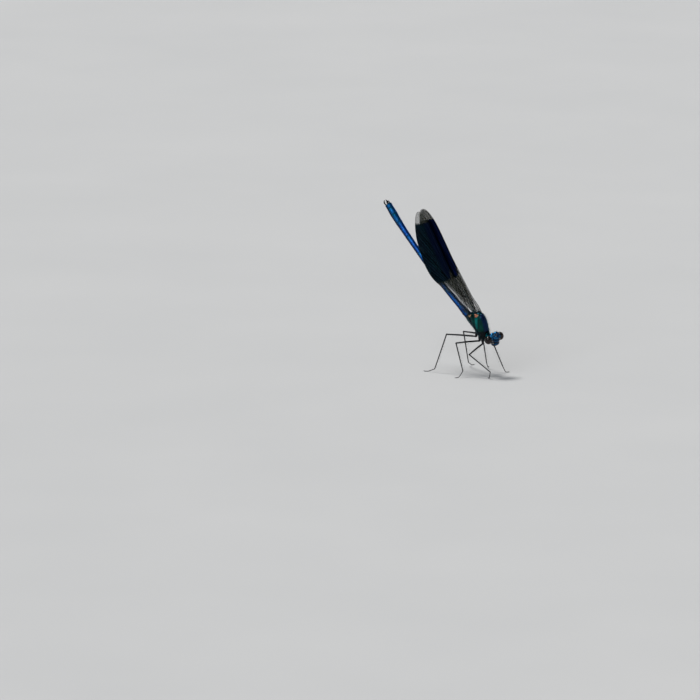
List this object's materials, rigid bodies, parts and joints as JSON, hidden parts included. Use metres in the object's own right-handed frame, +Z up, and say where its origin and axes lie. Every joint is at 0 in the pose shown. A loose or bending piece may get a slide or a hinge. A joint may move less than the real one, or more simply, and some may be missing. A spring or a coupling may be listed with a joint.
{
  "type": "damselfly",
  "caption": "Still, life-size model of a male damselfly at rest, tail up, with dark-banded wings folded over a slim metallic blue abdomen.",
  "frame": {"origin": "centre of the model's bounding box, on the floor plane that the feet stand on", "axes": "+X where the animal heads, +Y to its left side, +Z up"},
  "size_m": [0.0376, 0.016, 0.0412],
  "materials": {
    "head_cuticle": "metallic blue, fine-grained gloss",
    "mouth_cuticle": "black, satin",
    "eye": "near-black brown, very glossy",
    "thorax_cuticle": "metallic emerald to navy, glossy",
    "abdomen_cuticle": "metallic blue, glossy",
    "appendage_cuticle": "black, satin",
    "wing_membrane": "clear with a blue-black band and black veins",
    "leg_cuticle": "black, satin, bristled"
  },
  "bodies": {
    "root": {"head": "head_cuticle", "clypeus": "head_cuticle", "labrum": "head_cuticle", "mandible_left": "head_cuticle", "mandible_right": "head_cuticle", "labium": "mouth_cuticle", "antenna_left": "mouth_cuticle", "antenna_right": "mouth_cuticle", "eye_left": "eye", "eye_right": "eye", "neck": "thorax_cuticle", "prothorax": "thorax_cuticle", "thorax": "thorax_cuticle", "abdomen_1": "abdomen_cuticle", "abdomen_2": "abdomen_cuticle", "abdomen_3": "abdomen_cuticle", "abdomen_4": "abdomen_cuticle", "abdomen_5": "abdomen_cuticle", "abdomen_6": "abdomen_cuticle", "abdomen_7": "abdomen_cuticle", "abdomen_8": "abdomen_cuticle", "abdomen_9": "abdomen_cuticle", "abdomen_10": "abdomen_cuticle", "cercus_left": "appendage_cuticle", "cercus_right": "appendage_cuticle", "paraproct_left": "appendage_cuticle", "paraproct_right": "appendage_cuticle", "forewing_left": "wing_membrane", "forewing_right": "wing_membrane", "hindwing_left": "wing_membrane", "hindwing_right": "wing_membrane", "coxa_fore_left": "leg_cuticle", "femur_fore_left": "leg_cuticle", "tibia_fore_left": "leg_cuticle", "tarsus_fore_left": "leg_cuticle", "coxa_fore_right": "leg_cuticle", "femur_fore_right": "leg_cuticle", "tibia_fore_right": "leg_cuticle", "tarsus_fore_right": "leg_cuticle", "coxa_mid_left": "leg_cuticle", "femur_mid_left": "leg_cuticle", "tibia_mid_left": "leg_cuticle", "tarsus_mid_left": "leg_cuticle", "coxa_mid_right": "leg_cuticle", "femur_mid_right": "leg_cuticle", "tibia_mid_right": "leg_cuticle", "tarsus_mid_right": "leg_cuticle", "coxa_hind_left": "leg_cuticle", "femur_hind_left": "leg_cuticle", "tibia_hind_left": "leg_cuticle", "tarsus_hind_left": "leg_cuticle", "coxa_hind_right": "leg_cuticle", "femur_hind_right": "leg_cuticle", "tibia_hind_right": "leg_cuticle", "tarsus_hind_right": "leg_cuticle"}
  },
  "joints": []
}
